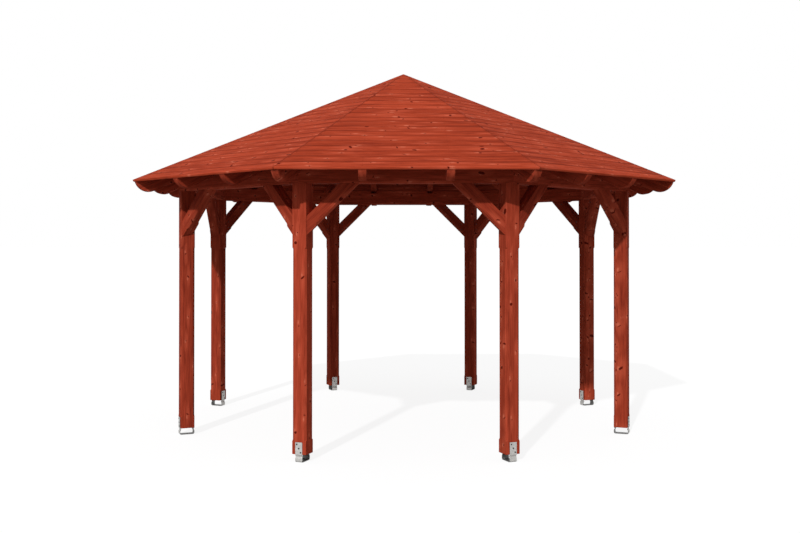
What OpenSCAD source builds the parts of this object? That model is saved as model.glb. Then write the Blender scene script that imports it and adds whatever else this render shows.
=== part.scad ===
// Open octagonal garden gazebo in stained timber: eight posts on strap bases, a ring of
// braced beams, hip and jack rafters with rounded tails, and eight boarded roof faces that
// meet over a king block. Millimetres, +Z up, origin on the ground under the peak of the
// roof. One flat side faces -Y, so that a post stands on either side of it.

/* [Plan] */
// Distance from the centre of the gazebo to the middle of each post
post_circle_r = 2100; // [1750:10:2700]
// Clear height from the ground to the underside of the ring beams
clear_h = 2156; // [1850:1:2700]

/* [Posts] */
// Width of each square post
post_w = 120; // [100:1:150]
// Height of the lower ends of the posts above the ground
post_lift = 60; // [40:1:90]
// Full section left at the foot of a post, below its planed chamfers
post_foot_full = 101; // [20:1:300]
// Full section left at the head of a post, above its planed chamfers
post_head_full = 497; // [100:1:800]
// Leg of the stopped chamfers on posts, beams and braces
chamfer = 15; // [5:1:20]

/* [Post bases] */
// Width of the steel strap that carries each post
strap_w = 60; // [50:1:80]
// Thickness of the strap
strap_t = 5; // [3:0.5:6]
// Length of the strap's legs up the inner and outer faces of the post
strap_leg = 95; // [80:1:200]
// Distance that each leg is pinched in under the end of the post
strap_pinch = 8; // [4:0.5:12]
// Inner radius of the two bends at the bottom of the strap
strap_bend_r = 10; // [5:0.5:14]
// Diameter of the three screw holes in each leg
leg_hole_d = 11; // [6:0.5:14]
// Rise from one leg hole to the next
leg_hole_rise = 31; // [20:1:32]
// Sideways step from one leg hole to the next
leg_hole_step = 17; // [0:0.5:17]
// Diameter of the anchor hole in the bottom of the strap
anchor_hole_d = 14; // [9:0.5:20]

/* [Ring beams] */
// Width of the ring beams
beam_w = 140; // [100:1:160]
// Height of the ring beams
beam_h = 130; // [100:1:200]

/* [Braces] */
// Thickness of the braces, measured inwards from the outer face of the beams
brace_w = 96; // [60:1:120]
// Depth of the braces, square to their length
brace_d = 104; // [60:1:130]
// Distance along the beam from the post to the lower edge of a brace
brace_reach = 404; // [300:1:500]
// Full section left at the foot of a brace, below its chamfers
brace_foot_full = 100; // [20:1:200]

/* [Roof] */
// Slope of the roof faces in degrees
pitch = 24.8; // [15:0.1:35]
// Distance from the outer face of the beams to the edge of the eaves, in plan
overhang = 369; // [250:1:500]
// Width of every rafter
rafter_w = 60; // [40:1:80]
// Depth of the jack rafters, square to the slope
rafter_d = 124; // [90:1:160]
// How much deeper a hip rafter is on its backed centre line than a jack rafter
hip_extra = 14; // [0:1:40]
// Radius of the rounded rafter tails
tail_r = 120; // [40:1:150]
// Length of level seat that the jack rafters have on the beams
rafter_seat = 53; // [20:1:70]
// Distance from the middle of a side to each of its two jack rafters
jack_offset = 328; // [200:1:420]
// Thickness of the roof boarding
board_t = 20; // [12:0.5:28]

/* [King block] */
// Margin of each face of the block beside the hip rafter that meets it
king_margin = 3; // [1:0.5:15]
// Length of the block that shows below the hip rafters
king_drop = 45; // [25:1:120]
// Chamfer round the lower end of the block
king_chamfer = 15; // [5:1:20]

/* [Hidden] */
SIDES = ["front", "front_right", "right", "back_right", "back", "back_left", "left", "front_left"];
CORNERS = ["front_right", "right_front", "right_back", "back_right",
           "back_left", "left_back", "left_front", "front_left"];

turn = 360 / len(SIDES);                     // angle from one side to the next
half_turn = turn / 2;
front_angle = -90;                           // direction that the front side faces
far = 2 * post_circle_r;                     // size of the solids that only cut

// Wall line, seen along a side: x is the distance out from the axis, y runs along the side
wall_out = post_circle_r * cos(half_turn);
half_side = post_circle_r * sin(half_turn);
post_h = clear_h - post_lift;
beam_out = wall_out + beam_w / 2;
beam_in = wall_out - beam_w / 2;
beam_top = clear_h + beam_h;
cut_depth = chamfer / sqrt(2);               // depth of a chamfer, square to its flat

// Lower edge of a brace on its outer face: where it meets the post and the beam
brace_foot_y = half_side
               - (post_w / 2 - (beam_out - wall_out) * sin(half_turn)) / cos(half_turn);
brace_head_y = brace_foot_y - brace_reach;

// Roof on a section through the middle of a side: heights on the axis, then the eaves
under_0 = beam_top + (beam_out - rafter_seat) * tan(pitch);
boards_0 = under_0 + rafter_d / cos(pitch);
peak = boards_0 + board_t / cos(pitch);
eave_out = beam_out + overhang;
eave_under_out = eave_out - board_t * sin(pitch);
jack_end = (eave_out - (rafter_d + board_t) * sin(pitch)) / cos(pitch);

// Roof on a section along a hip. The tails stop where their corners meet the eaves.
hip_pitch = atan(tan(pitch) * cos(half_turn));
hip_d = rafter_d + hip_extra;
hip_0 = boards_0 - hip_d / cos(hip_pitch);
hip_tip = eave_under_out / cos(half_turn) - rafter_w / 2 * tan(half_turn);
hip_end = (hip_tip - hip_d * sin(hip_pitch)) / cos(hip_pitch);

// King block: eight faces, one square to each hip rafter
king_out = (rafter_w / 2 + king_margin) / tan(half_turn);
king_low = hip_0 - king_out * tan(hip_pitch) - king_drop;

// Turns its children from the axis to side k, or to the corner on the right of side k
module at_side(k) {
    rotate([0, 0, front_angle + turn * k]) children();
}

module at_corner(k) {
    rotate([0, 0, front_angle + turn * k + half_turn]) children();
}

// Cutter for a stopped chamfer on an arris that lies on the X axis from 0 to l. It opens
// towards +Z and runs out at 45 degrees at both ends.
module stopped_chamfer(l) {
    rotate([90, 0, 0]) linear_extrude(height = 4 * cut_depth, center = true)
        polygon([[cut_depth, -cut_depth], [l - cut_depth, -cut_depth],
                 [l + cut_depth, cut_depth], [-cut_depth, cut_depth]]);
}

// Everything above the underside of the boards on side k
module above_boards(k) {
    at_side(k) translate([0, 0, boards_0]) rotate([0, pitch, 0])
        translate([-far, -far, 0]) cube([2 * far, 2 * far, far]);
}

// Square post, turned to face outwards, with a stopped chamfer on each arris
module post(k) {
    chamfer_l = post_h - post_foot_full - post_head_full;
    color("firebrick")
    at_corner(k) translate([post_circle_r, 0, post_lift]) difference() {
        translate([-post_w / 2, -post_w / 2, 0]) cube([post_w, post_w, post_h]);
        for (a = [45 : 90 : 315])
            rotate([0, 0, a]) translate([post_w / sqrt(2), 0, post_foot_full + chamfer_l])
                rotate([0, 90, 0]) stopped_chamfer(chamfer_l);
    }
}

// Right half of the strap, seen from the side: a leg, the pinch under the post that the post
// sits in, the swell below it, and the bend into the flat bottom
module strap_half() {
    inner = post_w / 2;
    outer = inner + strap_t;
    bend = strap_bend_r + strap_t;
    swell_z = bend + (post_lift - bend) / 3;
    pinch_z = bend + (post_lift - bend) * 2 / 3;
    translate([inner, post_lift]) square([strap_t, strap_leg]);
    polygon([[inner, post_lift], [outer, post_lift], [outer - strap_pinch, pinch_z],
             [outer, swell_z], [inner, swell_z], [inner - strap_pinch, pinch_z]]);
    translate([inner, bend]) square([strap_t, swell_z - bend]);
    intersection() {
        translate([outer - bend, bend]) difference() {
            circle(r = bend, $fn = 48);
            circle(r = strap_bend_r, $fn = 48);
        }
        translate([outer - bend, 0]) square(bend);
    }
    square([outer - bend, strap_t]);
}

// Galvanised strap under one post, with three screw holes in each leg and an anchor hole
module post_base() {
    hole_mid_z = post_lift + strap_leg / 2;
    difference() {
        rotate([90, 0, 0]) linear_extrude(height = strap_w, center = true) {
            strap_half();
            mirror([1, 0]) strap_half();
        }
        for (i = [-1 : 1], face = [0, 180])
            rotate([0, 0, face])
                translate([0, i * leg_hole_step, hole_mid_z - i * leg_hole_rise])
                    rotate([0, 90, 0]) cylinder(d = leg_hole_d, h = post_w, $fn = 32);
        translate([0, 0, -strap_t]) cylinder(d = anchor_hole_d, h = 3 * strap_t, $fn = 32);
    }
}

// All eight straps
module post_bases() {
    color("silver")
    for (k = [0 : len(CORNERS) - 1])
        at_corner(k) translate([post_circle_r, 0, 0]) post_base();
}

// Beam from post to post, mitred over the middle of the posts, with stopped chamfers on its
// lower arrises between the braces
module beam(k) {
    color("firebrick")
    at_side(k) difference() {
        translate([0, 0, clear_h]) linear_extrude(height = beam_h)
            polygon([[beam_in, -beam_in * tan(half_turn)], [beam_out, -beam_out * tan(half_turn)],
                     [beam_out, beam_out * tan(half_turn)], [beam_in, beam_in * tan(half_turn)]]);
        for (arris = [[beam_out, 135], [beam_in, 225]])
            translate([arris[0], -brace_head_y, clear_h])
                rotate([0, 0, 90]) rotate([arris[1], 0, 0])
                    stopped_chamfer(2 * brace_head_y);
    }
}

// Brace at 45 degrees in the right half of a side, from the side face of the post to the
// underside of the beam, flush with the beam's outer face
module brace() {
    level_d = brace_d * sqrt(2);             // depth measured along the beam
    fall = 2 * brace_reach;                  // taken well past the post, then trimmed to it
    foot_step = brace_w * tan(half_turn);    // how much sooner the inner arris meets the post
    inner_out = beam_out - brace_w;
    difference() {
        translate([inner_out, 0, 0]) rotate([90, 0, 90])
            linear_extrude(height = brace_w)
                polygon([[brace_head_y, clear_h], [brace_head_y + fall, clear_h - fall],
                         [brace_head_y + fall + level_d, clear_h - fall],
                         [brace_head_y + level_d, clear_h]]);
        translate([wall_out, half_side, 0]) rotate([0, 0, half_turn])
            translate([-far, -post_w / 2, 0]) cube([2 * far, far, 2 * clear_h]);
        for (arris = [[beam_out, 135, brace_reach], [inner_out, 225, brace_reach - foot_step]])
            translate([arris[0], brace_head_y, clear_h])
                rotate([-45, 0, 0]) rotate([0, 0, 90]) rotate([arris[1], 0, 0])
                    translate([-brace_d, 0, 0])
                        stopped_chamfer(brace_d + arris[2] * sqrt(2) - brace_foot_full);
    }
}

// Both braces of one side
module braces(k) {
    color("firebrick")
    at_side(k) {
        brace();
        mirror([0, 1, 0]) brace();
    }
}

// Rafter of depth d lying along +X from the axis, underside on the X axis, with a tail
// rounded on its lower side that ends at l
module rafter(l, d) {
    rotate([90, 0, 0]) linear_extrude(height = rafter_w, center = true) intersection() {
        square([l, d]);
        union() {
            square([l - tail_r, d]);
            translate([l - tail_r, tail_r]) square([tail_r, d]);
            translate([l - tail_r, tail_r]) circle(r = tail_r, $fn = 96);
        }
    }
}

// Space taken by the ring of beams, which notches the rafters that cross it
module beam_ring() {
    translate([0, 0, clear_h]) rotate([0, 0, half_turn]) linear_extrude(height = beam_h)
        circle(r = beam_out / cos(half_turn), $fn = len(SIDES));
}

// The eight hip rafters, backed to both roof faces and cut plumb against the king block
module hip_rafters() {
    color("firebrick")
    for (k = [0 : len(CORNERS) - 1])
        difference() {
            at_corner(k) difference() {
                translate([0, 0, hip_0]) rotate([0, hip_pitch, 0]) rafter(hip_end, hip_d);
                translate([-far, -far, 0]) cube([far + king_out, 2 * far, 2 * peak]);
            }
            above_boards(k);
            above_boards(k + 1);
            beam_ring();
        }
}

// Two jack rafters of one side, each cut to the side of the hip rafter next to it
module jack_rafters(k) {
    color("firebrick")
    at_side(k)
        for (hand = [0, 1])
            mirror([0, hand, 0]) difference() {
                translate([0, jack_offset, under_0]) rotate([0, pitch, 0])
                    rafter(jack_end, rafter_d);
                rotate([0, 0, half_turn]) translate([-far, -rafter_w / 2, 0])
                    cube([2 * far, far, 2 * peak]);
                beam_ring();
            }
}

// Octagonal block under the peak, shaped to the boards above and chamfered below
module king_block() {
    bevel = king_chamfer / sqrt(2);
    color("firebrick")
    difference() {
        translate([0, 0, king_low])
            cylinder(r = king_out / cos(half_turn), h = peak - king_low, $fn = len(SIDES));
        for (k = [0 : len(SIDES) - 1]) {
            above_boards(k);
            at_corner(k) translate([king_out, 0, king_low]) rotate([0, 45, 0])
                translate([-bevel, -king_out, -king_out])
                    cube([king_out, 2 * king_out, 2 * king_out]);
        }
    }
}

// One boarded face of the roof, mitred to its neighbours over the hips
module roof(k) {
    color("brown")
    at_side(k) intersection() {
        rotate([90, 0, 0]) linear_extrude(height = 2 * eave_out, center = true)
            polygon([[0, boards_0], [0, peak], [eave_out, peak - eave_out * tan(pitch)],
                     [eave_under_out, boards_0 - eave_under_out * tan(pitch)]]);
        linear_extrude(height = 2 * peak)
            polygon([[0, 0], [far, -far * tan(half_turn)], [far, far * tan(half_turn)]]);
    }
}

for (k = [0 : len(CORNERS) - 1])
    post(k);
post_bases();
for (k = [0 : len(SIDES) - 1]) {
    beam(k);
    braces(k);
    jack_rafters(k);
    roof(k);
}
hip_rafters();
king_block();
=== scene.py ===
# Open octagonal garden gazebo in glazed spruce. The parts follow one another here as they
# are put together: posts, steel bases, ring beams, braces, rafters, king block and roof
# boards, then the floor, the light and the camera. Metres, +Z up, front side facing -Y.
import math

import bpy
import numpy as np
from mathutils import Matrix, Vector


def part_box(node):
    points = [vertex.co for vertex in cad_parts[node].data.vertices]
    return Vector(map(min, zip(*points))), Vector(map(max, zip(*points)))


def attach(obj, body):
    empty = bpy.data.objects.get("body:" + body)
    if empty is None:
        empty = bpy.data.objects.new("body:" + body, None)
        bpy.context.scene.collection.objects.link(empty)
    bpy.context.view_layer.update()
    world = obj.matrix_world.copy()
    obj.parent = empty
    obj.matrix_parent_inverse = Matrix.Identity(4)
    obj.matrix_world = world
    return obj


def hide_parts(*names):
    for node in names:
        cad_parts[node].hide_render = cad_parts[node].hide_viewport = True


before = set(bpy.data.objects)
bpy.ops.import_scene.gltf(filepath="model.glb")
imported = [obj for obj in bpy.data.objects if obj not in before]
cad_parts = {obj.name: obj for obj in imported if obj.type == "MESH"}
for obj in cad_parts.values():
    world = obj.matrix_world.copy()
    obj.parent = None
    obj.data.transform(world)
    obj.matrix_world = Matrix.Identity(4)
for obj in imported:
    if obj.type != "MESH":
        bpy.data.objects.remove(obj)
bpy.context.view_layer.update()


# Posts. Eight squared posts of glued spruce, turned to face outwards, planed, with a stopped
# chamfer on each arris and the other arrises eased by hand. They are brushed with two coats
# of a red-brown glaze, stand in the steel bases and carry the mitres of the ring beams.

CORNERS = ["front_right", "right_front", "right_back", "back_right",
           "back_left", "left_back", "left_front", "front_left"]
EIGHTH = math.radians(45)                    # of a circle, from one side to the next
POST_CIRCLE = 2.100                          # from the axis to the middle of a post
POST_W = 0.120
POST_FOOT, POST_HEAD = 0.101, 0.497          # full section left below and above the chamfers
CHAMFER = 0.015                              # leg of a chamfer
RUN_OUT = CHAMFER / math.sqrt(2)             # length over which a chamfer runs out
EASE = 0.003                                 # radius that sandpaper leaves on an arris
EASED_LEG = 0.004                            # growth over which an eased arris turns straight
INSET = 0.005                                # from an arris to the first point on a face
END_EASE, END_RISE = 0.003, 0.002            # width lost at a post's lower end, and over what

chance = np.random.default_rng(41)


def section(width, depth, legs):
    """Outline of a squared timber at each station, as (stations, 32, 2), and how far each
    point is from the nearest arris. A corner runs over its leg from one face to the next:
    a quarter circle where the arris is only eased, and a straight line, level with the
    chord, where it is chamfered. Each face then has a point just inside either arris and
    one in its middle."""
    width, depth, legs = (np.asarray(a, float) for a in (width, depth, legs))
    step = np.linspace(0, 1, 5)
    rings, arris = [], []
    for corner in range(4):
        a, b = (width / 2, depth / 2) if corner % 2 == 0 else (depth / 2, width / 2)
        leg, after = legs[:, corner, None], legs[:, (corner + 1) % 4]
        a, b = a[:, None], b[:, None]
        bulge = np.clip(1 - (leg - EASE) / EASED_LEG, 0, 1)
        x = a - leg + leg * (bulge * np.cos(step * np.pi / 2) + (1 - bulge) * (1 - step))
        y = b - leg + leg * (bulge * np.sin(step * np.pi / 2) + (1 - bulge) * step)
        inset = np.minimum(INSET, a / 3)
        face = np.concatenate([a - leg - inset, 0 * a, leg * 0 - a + after[:, None] + inset], 1)
        x = np.concatenate([x, face], 1)
        y = np.concatenate([y, np.repeat(b, 3, 1)], 1)
        for _ in range(corner):
            x, y = -y, x
        rings.append(np.stack([x, y], -1))
        arris.append(np.concatenate([np.zeros((len(a), 5)), inset, a, inset], 1))
    return np.concatenate(rings, 1), np.concatenate(arris, 1)


def chamfered(at, start, stop):
    """Leg of a stopped chamfer at each station: it grows evenly from an eased arris at
    start over the run-out, and dies away again at stop."""
    grown = np.clip(np.minimum(at - start, stop - at) / RUN_OUT, 0, 1)
    return np.maximum(CHAMFER * grown, EASE)


def turned(points, eighths):
    """Points of a part that faces +X, turned about the upright axis to face the front and
    then this many eighths of a circle on."""
    angle = EIGHTH * eighths - math.pi / 2
    c, s = math.cos(angle), math.sin(angle)
    x, y, z = np.moveaxis(points, -1, 0)
    return np.stack([c * x - s * y, s * x + c * y, z], -1)


def solid(rings, grain, arris, tone=None):
    """One closed solid from rings of points (stations, around, 3). grain holds the place of
    each point in its tree, along, across and through, and arris its distance from an arris.
    Where the solid sat in its tree is drawn by chance: up to 90 m along, which stands for many
    trees, 50 mm to a side and 30 to 90 mm from the pith. So is the tone that the glaze took."""
    shift = np.array([chance.uniform(0, 90), chance.uniform(-.05, .05), chance.uniform(.03, .09)])
    return {"rings": rings, "grain": grain + shift,
            "arris": np.broadcast_to(arris, rings.shape[:2]),
            "tone": chance.uniform(-1, 1) if tone is None else tone}


SHARP = math.radians(30)                     # edges that turn more than this stay crisp


def piece(name, solids, material, slot, *nodes):
    """An object of several closed solids. Each has quads between neighbouring rings and one
    flat face over either end, turned outwards by the sign of the volume that they enclose."""
    corners, loops, ends, first = [], [], [], 0
    for s in solids:
        rings = s["rings"]
        stations, around = rings.shape[:2]
        i, j = np.meshgrid(np.arange(stations - 1), np.arange(around), indexing="ij")
        a, b = i * around + j, i * around + (j + 1) % around
        quads = np.stack([a, b, b + around, a + around], -1).reshape(-1, 4)
        p = rings.reshape(-1, 3) - rings.reshape(-1, 3).mean(0)
        corner = [p[quads[:, k]] for k in range(4)]
        bulk = np.einsum("ij,ij->", corner[0], np.cross(corner[1], corner[2])) + \
            np.einsum("ij,ij->", corner[0], np.cross(corner[2], corner[3]))
        low, high = np.arange(around)[::-1], np.arange(around) + (stations - 1) * around
        for cap in (low, high):
            fan = np.stack([np.full(around - 2, cap[0]), cap[1:-1], cap[2:]], -1)
            bulk += np.einsum("ij,ij->", p[fan[:, 0]], np.cross(p[fan[:, 1]], p[fan[:, 2]]))
        for kind, group in enumerate([quads, low[None], high[None]]):
            group = group if bulk > 0 else group[:, ::-1]
            loops.append((group + first).ravel())
            corners += [group.shape[1]] * len(group)
            ends += [float(kind > 0)] * len(group)
        first += stations * around
    mesh = bpy.data.meshes.new(name)
    points = np.concatenate([s["rings"].reshape(-1, 3) for s in solids])
    loops, corners = np.concatenate(loops), np.array(corners)
    mesh.vertices.add(len(points))
    mesh.vertices.foreach_set("co", points.astype(np.float32).ravel())
    mesh.loops.add(len(loops))
    mesh.loops.foreach_set("vertex_index", loops.astype(np.int32))
    mesh.polygons.add(len(corners))
    mesh.polygons.foreach_set("loop_start", (np.cumsum(corners) - corners).astype(np.int32))
    grain = np.concatenate([s["grain"].reshape(-1, 3) for s in solids]).astype(np.float32)
    mesh.attributes.new("grain", "FLOAT_VECTOR", "POINT").data.foreach_set("vector", grain.ravel())
    for key in ("arris", "tone"):
        value = [np.broadcast_to(s[key], s["rings"].shape[:2]).ravel() for s in solids]
        value = np.concatenate(value).astype(np.float32)
        mesh.attributes.new(key, "FLOAT", "POINT").data.foreach_set("value", value)
    ends = np.array(ends, np.float32)
    mesh.attributes.new("end", "FLOAT", "FACE").data.foreach_set("value", ends)
    mesh.update(calc_edges=True)
    mesh.validate()
    mesh.shade_smooth()
    mesh.set_sharp_from_angle(angle=SHARP)
    mesh.materials.append(material)
    made = bpy.data.objects.new(name, mesh)
    bpy.context.scene.collection.objects.link(made)
    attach(made, "root")
    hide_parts(*nodes)


def linear(hex_colour):
    """Linear red, green, blue and alpha of an sRGB hex colour: below 0.04045 divided by
    12.92, and above it ((c + 0.055) / 1.055) to the power 2.4."""
    c = np.array([int(hex_colour[i:i + 2], 16) for i in (1, 3, 5)]) / 255
    c = np.where(c <= 0.04045, c / 12.92, ((c + 0.055) / 1.055) ** 2.4)
    return (*c.tolist(), 1.0)


def node(tree, kind, inputs=(), out=0, **settings):
    """A new node of this kind with its settings and links, as one of its outputs. Inputs go
    by name or number, or in order from the first, and each is a value or the output of
    another node."""
    made = tree.nodes.new("ShaderNode" + kind)
    for key, value in settings.items():
        setattr(made, key, value)
    for key, value in (inputs if isinstance(inputs, dict) else dict(enumerate(inputs))).items():
        if isinstance(value, bpy.types.NodeSocket):
            tree.links.new(value, made.inputs[key])
        else:
            made.inputs[key].default_value = value
    return made.outputs[out] if made.outputs else made


def glazed_spruce(name, pale, middle, dark, edge, edge_share, knot_apart, knot_size, streak,
                  contrast):
    """Planed spruce under a translucent red-brown glaze. The early wood drinks more glaze
    than the late wood, so the grain shows as fine darker and paler lines along the timber.
    Knots stay dark, with a paler patch before and behind them, and end grain goes dark. The
    glaze dries matt, so it has next to no shine."""
    material = bpy.data.materials.new(name)
    material.use_nodes = True
    tree = material.node_tree
    tree.nodes.clear()
    grain = node(tree, "Attribute", out="Vector", attribute_name="grain")
    tone = node(tree, "Attribute", out="Fac", attribute_name="tone")
    arris = node(tree, "Attribute", out="Fac", attribute_name="arris")
    end = node(tree, "Attribute", out="Fac", attribute_name="end")
    along = node(tree, "SeparateXYZ", [grain], out=0)
    across = node(tree, "SeparateXYZ", [grain], out=1)
    through = node(tree, "SeparateXYZ", [grain], out=2)
    from_pith = node(tree, "CombineXYZ", [across, through])
    from_pith = node(tree, "VectorMath", [from_pith], out="Value", operation="LENGTH")
    about_pith = node(tree, "Math", [through, across], operation="ARCTAN2")

    # Knots are branches that grow out from the pith, leaning up the tree. Each has a cell of
    # its own, knot_apart along the timber by turn_apart in radians about the pith, and is
    # from 1 to 3.8 times knot_size across: 6 to 24 mm in the timbers and 9 to 34 mm in the
    # boards. Some are cut aslant and come out as a short dash. A pale fleck on one side of
    # each knot is a painted glint.
    turn_apart, lean = 1.1, 0.25
    level = node(tree, "Math", [from_pith, -lean, along], operation="MULTIPLY_ADD")
    place = node(tree, "CombineXYZ", [level, about_pith])
    place = node(tree, "VectorMath", [place, (1 / knot_apart, 1 / turn_apart, 0)],
                 operation="MULTIPLY")
    middle_of = node(tree, "TexVoronoi", {"Vector": place, "Scale": 1.0, "Randomness": 0.85},
                     out="Position", voronoi_dimensions="2D")
    drawn = node(tree, "TexVoronoi", {"Vector": place, "Scale": 1.0, "Randomness": 0.85},
                 out="Color", voronoi_dimensions="2D")
    drawn_a = node(tree, "SeparateColor", [drawn], out=0)
    drawn_b = node(tree, "SeparateColor", [drawn], out=1)
    drawn_c = node(tree, "SeparateColor", [drawn], out=2)
    away = node(tree, "VectorMath", [place, middle_of], operation="SUBTRACT")
    turn_out = node(tree, "Math", [from_pith, turn_apart], operation="MULTIPLY")
    metres = node(tree, "CombineXYZ", [knot_apart, turn_out, 0.0])
    away = node(tree, "VectorMath", [away, metres], operation="MULTIPLY")
    aslant = node(tree, "Math", [drawn_c, 2.4, -1.2], operation="MULTIPLY_ADD")
    turned_away = node(tree, "VectorRotate", {"Vector": away, "Angle": aslant},
                       rotation_type="Z_AXIS")
    longer = node(tree, "MapRange", [drawn_b, 0.4, 1.0, 1.0, 0.4])
    slimmer = node(tree, "MapRange", [drawn_b, 0.4, 1.0, 1.0, 1.8])
    squeeze = node(tree, "CombineXYZ", [longer, slimmer, 0.0])
    near = node(tree, "VectorMath", [turned_away, squeeze], operation="MULTIPLY")
    near = node(tree, "VectorMath", [near], out="Value", operation="LENGTH")
    ragged = node(tree, "TexNoise", {"Vector": grain, "Scale": 130.0, "Detail": 2.0})
    ragged = node(tree, "Math", [ragged, 0.010, -0.005], operation="MULTIPLY_ADD")
    size = node(tree, "Math", [drawn_a, 2.0], operation="POWER")
    size = node(tree, "Math", [size, 1.4, 0.5], operation="MULTIPLY_ADD")
    size = node(tree, "Math", [size, knot_size], operation="MULTIPLY")
    past = node(tree, "Math", [near, ragged], operation="ADD")
    past = node(tree, "Math", [past, size], operation="SUBTRACT")
    knot = node(tree, "MapRange", [past, 0.003, -0.002, 0.0, 1.0], interpolation_type="SMOOTHSTEP")
    patch = node(tree, "VectorMath", [away, (0.16, 1.0, 0)], operation="MULTIPLY")
    patch = node(tree, "VectorMath", [patch], out="Value", operation="LENGTH")
    patch = node(tree, "MapRange", [patch, knot_size * 3.5, knot_size, 0.0, 1.0],
                 interpolation_type="SMOOTHSTEP")
    beside = node(tree, "MapRange", [drawn_c, 0.0, 1.0, -5.0, 5.0])
    beside = node(tree, "Math", [beside, knot_size], operation="MULTIPLY")
    beside = node(tree, "CombineXYZ", [beside, knot_size * 0.9, 0.0])
    knot_glint = node(tree, "VectorMath", [away, beside], operation="ADD")
    knot_glint = node(tree, "VectorMath", [knot_glint, (0.32, 1.0, 0)], operation="MULTIPLY")
    knot_glint = node(tree, "VectorMath", [knot_glint], out="Value", operation="LENGTH")
    knot_glint = node(tree, "Math", [knot_glint, ragged], operation="ADD")
    knot_glint = node(tree, "MapRange", [knot_glint, knot_size * 1.1, knot_size * 0.4, 0.0, 1.0])

    # Growth rings, circles about the pith that wander along the timber, drawn ring_apart and
    # so a little coarser than the real 2 to 4 mm
    ring_apart = 0.005
    wander = node(tree, "VectorMath", [grain, (1.3, 6, 6)], operation="MULTIPLY")
    wander = node(tree, "TexNoise", {"Vector": wander, "Scale": 1.0})
    ring = node(tree, "Math", [wander, 0.040, from_pith], operation="MULTIPLY_ADD")
    ring = node(tree, "Math", [patch, 0.006, ring], operation="MULTIPLY_ADD")
    ring = node(tree, "Math", [ring, 2 * math.pi / ring_apart], operation="MULTIPLY")
    ring = node(tree, "Math", [ring], operation="SINE")

    # Streaks of early and late wood, about 20 and 6 mm wide, drawn coarser than the real 2 to
    # 4 mm so that they show
    lines = node(tree, "VectorMath", [grain, (2.0, streak, streak)], operation="MULTIPLY")
    lines = node(tree, "TexNoise", {"Vector": lines, "Scale": 1.0, "Detail": 5.0,
                                    "Roughness": 0.65})
    fine = node(tree, "VectorMath", [grain, (9.0, streak * 3.3, streak * 3.3)],
                operation="MULTIPLY")
    fine = node(tree, "TexNoise", {"Vector": fine, "Scale": 1.0, "Detail": 2.0})
    cloud = node(tree, "VectorMath", [grain, (1.8, 5, 5)], operation="MULTIPLY")
    cloud = node(tree, "TexNoise", {"Vector": cloud, "Scale": 1.0})
    shade = node(tree, "Math", [ring, 0.09, 0.5], operation="MULTIPLY_ADD")
    for part, share in ((lines, contrast), (fine, contrast * 0.7), (cloud, contrast / 9)):
        part = node(tree, "Math", [part, 0.5], operation="SUBTRACT")
        shade = node(tree, "Math", [part, share, shade], operation="MULTIPLY_ADD")
    shade = node(tree, "Math", [tone, 0.12, shade], operation="MULTIPLY_ADD")
    colour = node(tree, "ValToRGB", [shade])
    bands = colour.node.color_ramp.elements
    bands[0].position, bands[0].color = 0.05, linear(dark)
    bands[1].position, bands[1].color = 0.95, linear(pale)
    bands.new(0.5).color = linear(middle)

    # Drying checks, dark hairlines along the timber here and there
    check = node(tree, "VectorMath", [grain, (1.1, 34, 34)], operation="MULTIPLY")
    check = node(tree, "TexNoise", {"Vector": check, "Scale": 1.0, "Detail": 1.0})
    check = node(tree, "Math", [check, 0.5], operation="SUBTRACT")
    check = node(tree, "Math", [check], operation="ABSOLUTE")
    check = node(tree, "MapRange", [check, 0.007, 0.001, 0.0, 1.0])
    check_here = node(tree, "VectorMath", [grain, (2.5, 9, 9)], operation="MULTIPLY")
    check_here = node(tree, "TexNoise", {"Vector": check_here, "Scale": 1.0})
    check_here = node(tree, "MapRange", [check_here, 0.60, 0.66, 0.0, 1.0])
    check = node(tree, "Math", [check, check_here], operation="MULTIPLY")

    # The glaze is rubbed thin on an arris, or gathers in a joint
    rubbed = node(tree, "MapRange", [arris, 0.006, 0.0, 0.0, 1.0],
                  interpolation_type="SMOOTHSTEP")
    rubbed_here = node(tree, "MapRange", [fine, 0.40, 0.60, 0.4, 1.0])
    rubbed = node(tree, "Math", [rubbed, rubbed_here], operation="MULTIPLY")

    # Each mark is laid over the last: its colour, where it is, and how much of it shows
    core = node(tree, "MapRange", [past, -0.003, -0.008, 0.0, 1.0])
    # the pale fleck beside each knot is a painted glint
    for shown, there, share in (("#CE5B40", patch, 0.40), ("#DE7A5E", knot_glint, 0.60),
                                (edge, rubbed, edge_share), ("#500600", knot, 0.94),
                                ("#6E1A0A", core, 0.50), ("#35100A", check, 0.70),
                                ("#6E2A1B", end, 0.75)):
        there = node(tree, "Math", [there, share], operation="MULTIPLY")
        colour = node(tree, "Mix", {0: there, 6: colour, 7: linear(shown)}, out=2,
                      data_type="RGBA")

    rough = node(tree, "MapRange", [lines, 0.0, 1.0, 0.82, 0.98])
    height = node(tree, "Math", [ring, 0.10, fine], operation="MULTIPLY_ADD")
    height = node(tree, "Math", [check, -2.0, height], operation="MULTIPLY_ADD")
    height = node(tree, "Math", [knot, 0.5, height], operation="MULTIPLY_ADD")
    bump = node(tree, "Bump", {"Height": height, "Strength": 0.4, "Distance": 0.001})
    surface = node(tree, "BsdfPrincipled", {"Base Color": colour, "Roughness": rough,
                                            "Normal": bump, "IOR": 1.5,
                                            "Specular IOR Level": 0.05})
    node(tree, "OutputMaterial", [surface])
    return material


timber = glazed_spruce("glazed_spruce_timber", pale="#BB4A33", middle="#9F3C26", dark="#7A271A",
                       edge="#B24A32", edge_share=0.2, knot_apart=0.24, knot_size=0.0062,
                       streak=52, contrast=1.35)


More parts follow.
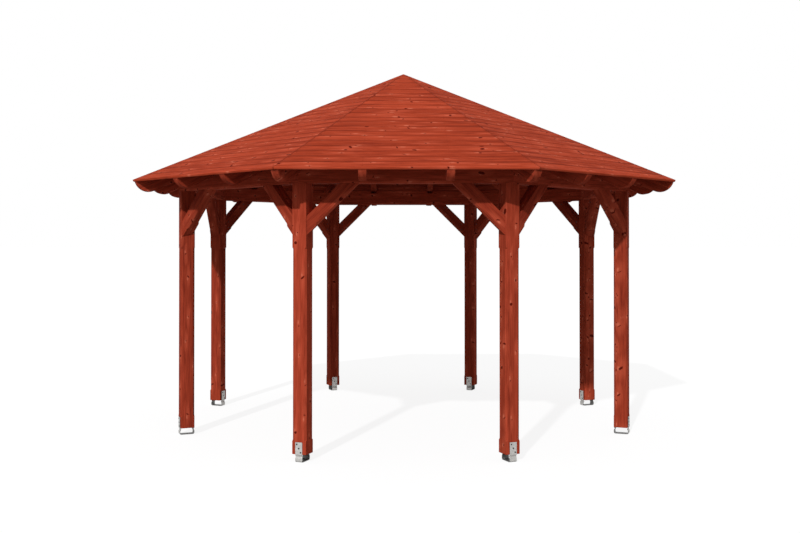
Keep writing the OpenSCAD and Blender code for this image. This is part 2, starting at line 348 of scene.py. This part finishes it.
def post():
    """Squared outline carried straight up, with the chamfers' legs as a function of height.
    The lowest ring is drawn in a little, so that its end arris is eased too."""
    foot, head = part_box("post_front_right")[0].z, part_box("post_front_right")[1].z
    start, stop = foot + POST_FOOT, head - POST_HEAD
    up = np.array([foot, foot + END_RISE, start, start + RUN_OUT, stop - RUN_OUT, stop, head])
    width = np.full(len(up), POST_W)
    width[0] -= END_EASE
    outline, arris = section(width, width, np.repeat(chamfered(up, start, stop)[:, None], 4, 1))
    arris[0] = 0
    z = np.broadcast_to(up[:, None], arris.shape)
    x, y = np.moveaxis(outline, -1, 0)
    return np.stack([x + POST_CIRCLE, y, z], -1), np.stack([z, x, y], -1), arris


# How pale or dark the glaze turned out on each post, in the order of the corners
POST_TONES = [0.2, -0.5, 0.4, -0.5, -0.4, -0.3, -0.9, 1.2]
for k, corner in enumerate(CORNERS):
    rings, grain, arris = post()
    piece("Post_" + corner, [solid(turned(rings, k + 0.5), grain, arris, POST_TONES[k])],
          timber, "post_timber", "post_" + corner)


# Post bases. Flat steel bar, 60 by 5 mm, bent into a U, pinched in under the post and dipped
# in molten zinc after punching. Three screws with broad pan heads go through each leg.

SCREW_RISE, SCREW_STEP = 0.031, 0.017        # from one screw of a leg to the next
SCREW_MID = 0.1075                           # height of the middle one
SCREW_R, SCREW_PROUD = 0.0063, 0.0028        # a head's radius, and its height on the strap
STRAP_T = 0.005


def galvanised(name, colour, spangle_apart, metallic, painted_shade_level):
    """Steel with a matt skin: zinc from the dip is light grey, in crystals of slightly
    different brightness with duller patches, and a blackened screw is nearly black. Painted shade
    darkens its cut edges, the bends, the bottom and the inside of the U, down to the share of its
    brightness that the last argument gives."""
    material = bpy.data.materials.new(name)
    material.use_nodes = True
    tree = material.node_tree
    tree.nodes.clear()

    # Crystals of zinc, spangle_apart across, and duller patches about 17 mm across
    place = node(tree, "TexCoord", out="Object")
    spangle = node(tree, "TexVoronoi", {"Vector": place, "Scale": 1 / spangle_apart}, out="Color")
    crystal = node(tree, "SeparateColor", [spangle])
    dull = node(tree, "TexNoise", {"Vector": place, "Scale": 60.0, "Detail": 3.0})
    bright = node(tree, "MapRange", [crystal, 0.0, 1.0, 0.88, 1.0])
    patchy = node(tree, "MapRange", [dull, 0.35, 0.65, 0.84, 1.0])
    level = node(tree, "Math", [bright, patchy], operation="MULTIPLY")

    # Painted shade goes on the cut edges, inside the U, and on the bends and the bottom. A cut
    # edge faces along the ring of posts, so the way out from the axis and the way that it faces
    # are square. The inside of the U faces back to the middle of the post. The bends and the
    # bottom face up or down.
    facing = node(tree, "TexCoord", out="Normal")
    plan = node(tree, "VectorMath", [place, (1, 1, 0)], operation="MULTIPLY")
    way_out = node(tree, "VectorMath", [plan], operation="NORMALIZE")
    along = node(tree, "VectorMath", [way_out, facing], operation="CROSS_PRODUCT")
    cut = node(tree, "Math", [node(tree, "SeparateXYZ", [along], out=2)], operation="ABSOLUTE")
    past = node(tree, "VectorMath", [plan], out="Value", operation="LENGTH")
    past = node(tree, "Math", [past, POST_CIRCLE], operation="SUBTRACT")
    outwards = node(tree, "VectorMath", [way_out, facing], out="Value", operation="DOT_PRODUCT")
    inside = node(tree, "Math", [past, outwards], operation="MULTIPLY")
    inside = node(tree, "MapRange", [inside, 0.0, -POST_W / 2, 0.0, 1.0])
    bend = node(tree, "Math", [node(tree, "SeparateXYZ", [facing], out=2)], operation="ABSOLUTE")
    # painted shade, strongest where a cut edge, the inside of the U or a face that looks up or
    # down is met
    painted_shade = node(tree, "Math", [cut, inside], operation="MAXIMUM")
    painted_shade = node(tree, "Math", [painted_shade, bend], operation="MAXIMUM")
    painted_shade = node(tree, "MapRange", [painted_shade, 0.4, 0.9, 1.0, painted_shade_level])
    level = node(tree, "Math", [level, painted_shade], operation="MULTIPLY")

    tinted = node(tree, "Mix", {0: 1.0, 6: linear(colour), 7: level}, out=2,
                  data_type="RGBA", blend_type="MULTIPLY")
    rough = node(tree, "MapRange", [dull, 0.3, 0.7, 0.36, 0.56])
    bump = node(tree, "Bump", {"Height": dull, "Strength": 0.3, "Distance": 0.0004})
    surface = node(tree, "BsdfPrincipled", {"Base Color": tinted, "Roughness": rough,
                                            "Normal": bump, "Metallic": metallic})
    node(tree, "OutputMaterial", [surface])
    return material


zinc = galvanised("galvanised_steel_skin", "#CCCAC6", spangle_apart=0.006, metallic=0.5,
                  painted_shade_level=0.28)
strap_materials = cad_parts["post_bases"].data.materials
for place in range(len(strap_materials)):
    strap_materials[place] = zinc

screw_steel = galvanised("screw_steel_blackened", "#0E0C0B", spangle_apart=0.003, metallic=0.0,
                         painted_shade_level=1.0)


def screw_head(size, proud):
    """A low dome turned round +X: rings of 16 points whose radius falls from the rim to the
    recess as they rise."""
    out = proud * np.array([-0.4, 0.4, 0.8, 1.0, 0.55])
    radius = size * np.array([1.0, 1.0, 0.85, 0.45, 0.30])
    turn = np.linspace(0, 2 * np.pi, 16, endpoint=False)
    return np.stack([np.broadcast_to(out[:, None], (5, 16)),
                     radius[:, None] * np.cos(turn), radius[:, None] * np.sin(turn)], -1)


heads = []
for k in range(len(CORNERS)):
    for step in (-1, 0, 1):
        for way in (1, -1):
            head = screw_head(SCREW_R, SCREW_PROUD) * [way, way, 1]
            head = head + [POST_CIRCLE + way * (POST_W / 2 + STRAP_T), way * step * SCREW_STEP,
                           SCREW_MID - step * SCREW_RISE]
            heads.append(solid(turned(head, k + 0.5), head, 0.0))
piece("Post_base_screws", heads, screw_steel, "galvanised_steel")


# Ring beams. Eight squared spruce beams, mitred to each other over the middle of the posts,
# with stopped chamfers on both lower arrises between the braces.

SIDES = ["front", "front_right", "right", "back_right",
         "back", "back_left", "left", "front_left"]
MITRE = math.tan(EIGHTH / 2)                 # how fast a side widens outwards
WALL_OUT = POST_CIRCLE * math.cos(EIGHTH / 2)
HALF_SIDE = POST_CIRCLE * math.sin(EIGHTH / 2)
BEAM_W = 0.140
BEAM_OUT = WALL_OUT + BEAM_W / 2
BRACE_REACH = 0.404                          # from the post to a brace's end under the beam
POST_FACE = POST_W / 2 - BEAM_W / 2 * math.sin(EIGHTH / 2)
BRACE_FOOT_Y = HALF_SIDE - POST_FACE / math.cos(EIGHTH / 2)
BRACE_HEAD_Y = BRACE_FOOT_Y - BRACE_REACH


def beam():
    """Squared outline carried along the side; the end rings slide along the timber to the
    mitre planes, where the distance along is the distance out times the mitre."""
    low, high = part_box("beam_front")[0].z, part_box("beam_front")[1].z
    along = np.array([-1, -BRACE_HEAD_Y, RUN_OUT - BRACE_HEAD_Y, 0,
                      BRACE_HEAD_Y - RUN_OUT, BRACE_HEAD_Y, 1])
    n = len(along)
    cut = chamfered(along, -BRACE_HEAD_Y, BRACE_HEAD_Y)
    eased = np.full(n, EASE)
    outline, arris = section(np.full(n, BEAM_W), np.full(n, high - low),
                             np.stack([eased, eased, cut, cut], 1))
    x, up = np.moveaxis(outline, -1, 0)
    x = x + WALL_OUT
    y = np.repeat(along[:, None], x.shape[1], 1)
    y[[0, -1]] *= x[[0, -1]] * MITRE
    return np.stack([x, y, up + (low + high) / 2], -1), np.stack([y, x - WALL_OUT, up], -1), arris


for k, side in enumerate(SIDES):
    rings, grain, arris = beam()
    piece("Beam_" + side, [solid(turned(rings, k), grain, arris, chance.uniform(0.3, 1.0))],
          timber, "beam_timber", "beam_" + side)


# Braces. Two to a side at 45 degrees, from the side face of the post to the underside of the
# beam, flush with the beam's outer face, with two screws at each end from the inside. The
# lower arrises are chamfered from the beam down to a stop above the post.

BRACE_W, BRACE_D = 0.096, 0.104
BRACE_FOOT = 0.100                           # full section left at the foot


def brace():
    """Squared outline carried down the slope from the beam. Every ring lies between the cut
    under the beam and the cut against the post, at the same share of the way from one to
    the other, so that both ends are cut true."""
    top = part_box("beam_front")[0].z
    root2 = math.sqrt(2)
    narrow = BRACE_REACH - BRACE_W * MITRE
    outer, inner = BRACE_REACH * root2, narrow * root2
    share = np.array([0, (inner - BRACE_FOOT - RUN_OUT) / inner, (inner - BRACE_FOOT) / inner,
                      (outer - BRACE_FOOT) / outer, 1])
    cut_out = chamfered(share * outer, -1, outer - BRACE_FOOT)
    cut_in = chamfered(share * inner, -1, inner - BRACE_FOOT)
    n = len(share)
    eased = np.full(n, EASE)
    outline, arris = section(np.full(n, BRACE_W), np.full(n, BRACE_D),
                             np.stack([eased, eased, cut_in, cut_out], 1))
    across, deep = np.moveaxis(outline, -1, 0)
    x = BEAM_OUT - BRACE_W / 2 + across
    deep = deep + BRACE_D / 2
    foot = (BRACE_FOOT_Y - BRACE_HEAD_Y + (x - BEAM_OUT) * MITRE) * root2 - deep
    along = deep + share[:, None] * (foot - deep)
    y = BRACE_HEAD_Y + (along + deep) / root2
    z = top + (deep - along) / root2
    return np.stack([x, y, z], -1), np.stack([along, across, deep - BRACE_D / 2], -1), arris


for k, side in enumerate(SIDES):
    pair = []
    for hand in (1, -1):
        rings, grain, arris = brace()
        tone = chance.uniform(-1.4, -0.4)
        pair.append(solid(turned(rings * [1, hand, 1], k), grain, arris, tone))
    piece("Braces_" + side, pair, timber, "beam_timber", "braces_" + side)

BRACE_SCREW_R, BRACE_SCREW_PROUD = 0.0055, 0.0010
BRACE_SCREW_IN, BRACE_SCREW_OFF = 0.048, 0.022  # from the end, and from the middle
heads = []
for k in range(len(SIDES)):
    for hand in (1, -1):
        x = BEAM_OUT - BRACE_W
        for deep in (BRACE_D / 2 - BRACE_SCREW_OFF, BRACE_D / 2 + BRACE_SCREW_OFF):
            foot = (BRACE_FOOT_Y - BRACE_HEAD_Y - BRACE_W * MITRE) * math.sqrt(2) - deep
            for along in (deep + BRACE_SCREW_IN, foot - BRACE_SCREW_IN):
                at = [x, BRACE_HEAD_Y + (along + deep) / math.sqrt(2),
                      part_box("beam_front")[0].z + (deep - along) / math.sqrt(2)]
                head = screw_head(BRACE_SCREW_R, BRACE_SCREW_PROUD) * [-1, -1, 1] + at
                heads.append(solid(turned(head * [1, hand, 1], k), head, 0.0))
piece("Brace_screws", heads, screw_steel, "galvanised_steel")


# Rafters. Eight hip rafters over the posts, backed to both roof faces, and two jack rafters
# to a side, cut against the hips. All are notched over the beams, and their tails are sawn
# to a quarter round and sanded.

PITCH = math.radians(24.8)
RAFTER_W, RAFTER_D, TAIL_R = 0.060, 0.124, 0.120
HIP_EXTRA = 0.014                            # a hip is deeper, and so hangs lower
BACK_DEPTH = 0.012                           # what is within this of a hip's top is backed
HIP_D = RAFTER_D + HIP_EXTRA
HIP_PITCH = math.atan(math.tan(PITCH) * math.cos(EIGHTH / 2))
BACKING = math.tan(PITCH) * math.sin(EIGHTH / 2) * math.cos(HIP_PITCH)
BOARD_T = 0.020
UPPER_RING = 0.12                            # first ring below a rafter's upper end
JACK_OFFSET = 0.328                          # from the middle of a side to a jack rafter
KING_MARGIN = 0.003                          # of the king block's face, beside a hip
KING_OUT = (RAFTER_W / 2 + KING_MARGIN) / MITRE
BEAM_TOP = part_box("beam_front")[1].z
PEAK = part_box("roof_front")[1].z
EAVE_OUT = -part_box("roof_front")[0].y
BOARDS_0 = PEAK - BOARD_T / math.cos(PITCH)  # underside of the boards, on the axis
EAVE_UNDER = EAVE_OUT - BOARD_T * math.sin(PITCH)


def rafter(deep, pitch, ridge_x, end_x, beam_x, backing, offset=0.0, cheek=0.0):
    """Squared outline carried down the slope. Its underside follows, along the timber, the
    notch over the beam, which is the lower of a level and a plumb cut, and then a quarter
    circle up to the end. The upper end ring slides to a plumb cut, square or skewed."""
    c, s = math.cos(pitch), math.sin(pitch)
    under = BOARDS_0 - deep / c
    end = (end_x - deep * s) / c

    def low(at):
        notch = np.minimum((BEAM_TOP - under + at * s) / c, (beam_x - at * c) / s)
        tail = TAIL_R - np.sqrt(np.clip(TAIL_R ** 2 - np.clip(at - end + TAIL_R, 0, None) ** 2,
                                        0, None))
        return np.maximum(np.maximum(notch, 0), tail)

    curve = end - TAIL_R + TAIL_R * np.sin(np.linspace(0, np.pi / 2, 17))
    at = np.concatenate([[ridge_x / c + UPPER_RING, (under - BEAM_TOP) / s,
                          beam_x * c - (BEAM_TOP - under) * s, beam_x / c], curve])
    at = np.concatenate([at[:1], at])
    depth = deep - low(at)
    n = len(at)
    leg = np.repeat(np.minimum(EASE, depth / 4)[:, None], 4, 1)
    outline, arris = section(np.full(n, RAFTER_W), depth, leg)
    across, up = np.moveaxis(outline, -1, 0)
    up = up + (deep + low(at)[:, None]) / 2
    up = up - np.abs(across) * backing * (up > deep - BACK_DEPTH)
    along = np.repeat(at[:, None], across.shape[1], 1)
    along[0] = (ridge_x + (across[0] * cheek) - up[0] * s) / c
    x = along * c + up * s
    z = under - along * s + up * c
    return (np.stack([x, across + offset, z], -1),
            np.stack([along, across, up - deep / 2], -1), arris)


hips = []
for k in range(len(CORNERS)):
    rings, grain, arris = rafter(
        HIP_D, HIP_PITCH, KING_OUT, EAVE_UNDER / math.cos(EIGHTH / 2) - RAFTER_W / 2 * MITRE,
        BEAM_OUT / math.cos(EIGHTH / 2) - RAFTER_W / 2 * MITRE, BACKING)
    hips.append(solid(turned(rings, k + 0.5), grain, arris))
piece("Hip_rafters", hips, timber, "rafter_timber", "hip_rafters")

for k, side in enumerate(SIDES):
    pair = []
    for hand in (1, -1):
        start = (JACK_OFFSET * math.cos(EIGHTH / 2) + RAFTER_W / 2) / math.sin(EIGHTH / 2)
        rings, grain, arris = rafter(RAFTER_D, PITCH, start, EAVE_UNDER,
                                     BEAM_OUT, 0.0, JACK_OFFSET, 1 / MITRE)
        pair.append(solid(turned(rings * [1, hand, 1], k), grain, arris))
    piece("Jack_rafters_" + side, pair, timber, "rafter_timber", "jack_rafters_" + side)


# King block. An eight-sided block of spruce that hangs under the peak, with a face for each
# hip rafter to be screwed to, and a chamfer round its lower end.

KING_CUT = 0.015                             # leg of its chamfer
KING_RING = 0.05                             # from its lower end to the next ring
KING_TIP = 0.0005                            # radius left where its top meets the axis


def king_block():
    """Eight-sided rings whose radius is drawn in at the chamfer below. The last two rings
    follow the underside of the boards, which falls with the distance out, from the block's
    sides up to a point on the axis."""
    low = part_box("king_block")[0].z
    turn = np.arange(32) / 4 * EIGHTH
    lead = (turn + EIGHTH / 2) % EIGHTH - EIGHTH / 2
    flat = np.array([KING_OUT - KING_CUT, KING_OUT, KING_OUT, KING_OUT, KING_TIP])
    radius = flat[:, None] / np.cos(lead)
    out = radius * np.cos(turn % EIGHTH - EIGHTH / 2)
    z = BOARDS_0 - out * math.tan(PITCH)
    z[:3] = np.array([low, low + KING_CUT, low + KING_RING])[:, None]
    x, y = radius * np.cos(turn), radius * np.sin(turn)
    return np.stack([x, y, z], -1), np.stack([z, x, y], -1)


rings, grain = king_block()
piece("King_block", [solid(turned(rings, 0.5), grain, 0.02)], timber, "rafter_timber",
      "king_block")


# Roof boards. Tongued and grooved spruce boards, 20 mm thick, laid level from the eaves up,
# tongues uphill, with a small vee at each joint, and mitred to the next face over the hips.

FIRST, COVER = 0.116, 0.1225                 # the eaves board, ripped narrower, and the rest
VEE = 0.004
JOINT_GAP = 0.0004                           # between a board and the next one up
TONGUE_OUT = 0.0065                          # how far a tongue stands out
TONGUE_TOP, TONGUE_LOW = 0.007, 0.013        # its depth below the top of the board
GROOVE_IN, GROOVE_TOP, GROOVE_LOW = 0.007, 0.0068, 0.0132
MITRE_GAP = 0.0012                           # left open at the hips on either side
TOP_END, LEAST_END = 0.0006, 0.0002          # how near the top board comes to the axis, and
                                             # half the length of a board's edge at the least
END_GLAZE = 0.009                            # glaze gathers this far in from a mitre
BARE = 0.01                                  # far enough from a joint to be evenly glazed


def board(low, high, first, last):
    """Outline of one board, as distance up the slope, depth below its top and distance from
    the nearest joint, carried level from hip to hip; every ring lies at the same share of its
    own length, so both ends follow the mitres."""
    top = high - JOINT_GAP
    middle = (low + high) / 2
    half = (high - low) / 2
    front = BARE * first
    points = [(low + VEE, 0, front), (low, VEE, front), (low, GROOVE_TOP, front)]
    if not first:
        points += [(low + GROOVE_IN, GROOVE_TOP, 0), (low + GROOVE_IN, GROOVE_LOW, 0)]
    points += [(low, GROOVE_LOW, front), (low, BOARD_T - VEE, front), (low + VEE, BOARD_T, front),
               (middle, BOARD_T, half), (top - VEE, BOARD_T, 0), (top, BOARD_T - VEE, 0)]
    if not last:
        points += [(top, TONGUE_LOW, 0), (top + TONGUE_OUT, TONGUE_LOW, 0),
                   (top + TONGUE_OUT, TONGUE_TOP, 0), (top, TONGUE_TOP, 0)]
    points += [(top, VEE, 0), (top - VEE, 0, 0), (middle, 0, half)]
    up, deep, joint = np.array(points, float).T
    c, s = math.cos(PITCH), math.sin(PITCH)
    x = EAVE_OUT - up * c - deep * s
    if last:
        x = np.maximum(x, TOP_END)
    z = PEAK - EAVE_OUT * math.tan(PITCH) + up * s - deep * c
    if last:
        z = np.minimum(z, PEAK - x * math.tan(PITCH) - deep / c)
    end = np.maximum(x * MITRE - MITRE_GAP, LEAST_END)
    near_end = np.maximum(end - END_GLAZE, end * 0.9)
    y = np.stack([-end, -near_end, -0.5 * end, 0 * end, 0.5 * end, near_end, end])
    joint = np.minimum(joint, np.array([0, END_GLAZE, 1, 1, 1, END_GLAZE, 0])[:, None])
    rings = np.stack([np.broadcast_to(x, y.shape), y, np.broadcast_to(z, y.shape)], -1)
    grain = np.stack([y, np.broadcast_to(up - middle, y.shape),
                      np.broadcast_to(deep, y.shape)], -1)
    return rings, grain, joint


boards = glazed_spruce("glazed_spruce_roof_boards", pale="#C44E32", middle="#AA3F25",
                       dark="#812815", edge="#5E1D12", edge_share=0.65, knot_apart=0.48,
                       knot_size=0.0090, streak=55, contrast=1.5)
SLOPE = EAVE_OUT / math.cos(PITCH)
joints = [0, *np.arange(FIRST, SLOPE, COVER), SLOPE]
for k, side in enumerate(SIDES):
    courses = []
    for low, high in zip(joints[:-1], joints[1:]):
        rings, grain, arris = board(low, high, low == 0, high == SLOPE)
        courses.append(solid(turned(rings, k), grain, arris))
    piece("Roof_boards_" + side, courses, boards, "roof_boards", "roof_" + side)


# Nails. Flat-headed, two to a board over every rafter, driven flush and glazed over.

NAIL_R, NAIL_IN = 0.0036, 0.030              # radius of a head, and from a board's edge in
NAIL_OFF_HIP = 0.021                         # level, from the hip to its row of nails
NAIL_TONE = -1.5                             # glaze is thick in the dent about a head
nail_up = np.concatenate([[low + NAIL_IN, high - NAIL_IN]
                          for low, high in zip(joints[:-2], joints[1:-1])])


def nail_head():
    """A flat disc of 10 points whose arris is drawn in a little as it rises, facing out from
    the roof: out and up the slope are turned by the pitch about the level."""
    out = np.array([-0.0010, 0.0003, 0.0006])
    radius = NAIL_R * np.array([1.0, 1.0, 0.8])
    turn = np.linspace(0, 2 * np.pi, 10, endpoint=False)
    level = radius[:, None] * np.cos(turn)
    slope = radius[:, None] * np.sin(turn)
    c, s = math.cos(PITCH), math.sin(PITCH)
    return np.stack([out[:, None] * s - slope * c, level, out[:, None] * c + slope * s], -1)


nails = []
for k in range(len(SIDES)):
    for up in nail_up:
        x = EAVE_OUT - up * math.cos(PITCH)
        z = PEAK - x * math.tan(PITCH)
        rows = [x * MITRE - NAIL_OFF_HIP]
        if x > (JACK_OFFSET * math.cos(EIGHTH / 2) + RAFTER_W) / math.sin(EIGHTH / 2):
            rows.append(JACK_OFFSET)
        for y in rows:
            for hand in (1, -1):
                head = nail_head() + [x, hand * y, z]
                nails.append(solid(turned(head, k), head, 0.02, NAIL_TONE))
piece("Roof_nails", nails, boards, "roof_boards")


# Floor, light and camera. A plain pale floor and sky that read as white, one lamp for the
# low sun in front and to the left, and a soft even light from the sky.

REACH = 4000.0                               # of the floor, so far that no horizon shows
FLOOR_DULL = 0.32                            # share of the light that it throws back up
FLOOR_SEEN, FLOOR_LIFT = 0.20, 0.86          # share that is seen, and the lift to white


def floor_material():
    """Matt pale floor. Seen directly or mirrored it is lifted to white and keeps a pale
    shadow. It throws only a little light back up."""
    material = bpy.data.materials.new("pale_floor")
    material.use_nodes = True
    tree = material.node_tree
    tree.nodes.clear()
    dull = node(tree, "BsdfDiffuse", {"Color": (FLOOR_DULL, FLOOR_DULL, FLOOR_DULL, 1)})
    seen = node(tree, "BsdfDiffuse", {"Color": (FLOOR_SEEN, FLOOR_SEEN, FLOOR_SEEN, 1)})
    lift = node(tree, "Emission", {"Color": (1, 1, 1, 1), "Strength": FLOOR_LIFT})
    pale = node(tree, "AddShader", [seen, lift])
    white = 0.0
    for ray in ("Is Camera Ray", "Is Glossy Ray", "Is Transmission Ray"):
        white = node(tree, "Math", [white, node(tree, "LightPath", out=ray)], operation="MAXIMUM")
    node(tree, "OutputMaterial", [node(tree, "MixShader", [white, dull, pale])])
    return material


floor_mesh = bpy.data.meshes.new("Floor")
floor_mesh.from_pydata([(-REACH, -REACH, 0), (REACH, -REACH, 0), (REACH, REACH, 0),
                        (-REACH, REACH, 0)], [], [(0, 1, 2, 3)])
floor_mesh.materials.append(floor_material())
floor = bpy.data.objects.new("Floor", floor_mesh)
bpy.context.scene.collection.objects.link(floor)

SKY_LEVEL = 0.46                             # of its light; where it is seen it is white
sky = bpy.data.worlds.new("Sky")
bpy.context.scene.world = sky
sky.use_nodes = True
sky.node_tree.nodes.clear()
white = 0.0
for ray in ("Is Camera Ray", "Is Glossy Ray", "Is Transmission Ray"):
    seen = node(sky.node_tree, "LightPath", out=ray)
    white = node(sky.node_tree, "Math", [white, seen], operation="MAXIMUM")
level = node(sky.node_tree, "MapRange", [white, 0.0, 1.0, SKY_LEVEL, 1.0])
shown = node(sky.node_tree, "Background", {"Color": (1, 1, 1, 1), "Strength": level})
node(sky.node_tree, "OutputWorld", [shown])

SUN_LEVEL = 2.20
SUN_HEIGHT, SUN_LEFT = math.radians(31.5), math.radians(18)
sun = bpy.data.lights.new("Sun", "SUN")
sun.energy = SUN_LEVEL
sun.angle = math.radians(1.5)
sun_object = bpy.data.objects.new("Sun", sun)
sun_object.rotation_euler = (math.pi / 2 - SUN_HEIGHT, 0, -SUN_LEFT)
bpy.context.scene.collection.objects.link(sun_object)

lens = bpy.data.cameras.new("Camera")
lens.sensor_width = 36
lens.lens = 44.93
lens.shift_x, lens.shift_y = 0.0006, -0.0368
lens.clip_end = 2 * REACH
camera = bpy.data.objects.new("Camera", lens)
camera.location = (-0.0971, -9.7209, 1.659)
camera.rotation_euler = (math.pi / 2 + 0.01035, 0, -0.00604)
bpy.context.scene.collection.objects.link(camera)
bpy.context.scene.camera = camera
bpy.context.scene.view_settings.view_transform = "Standard"
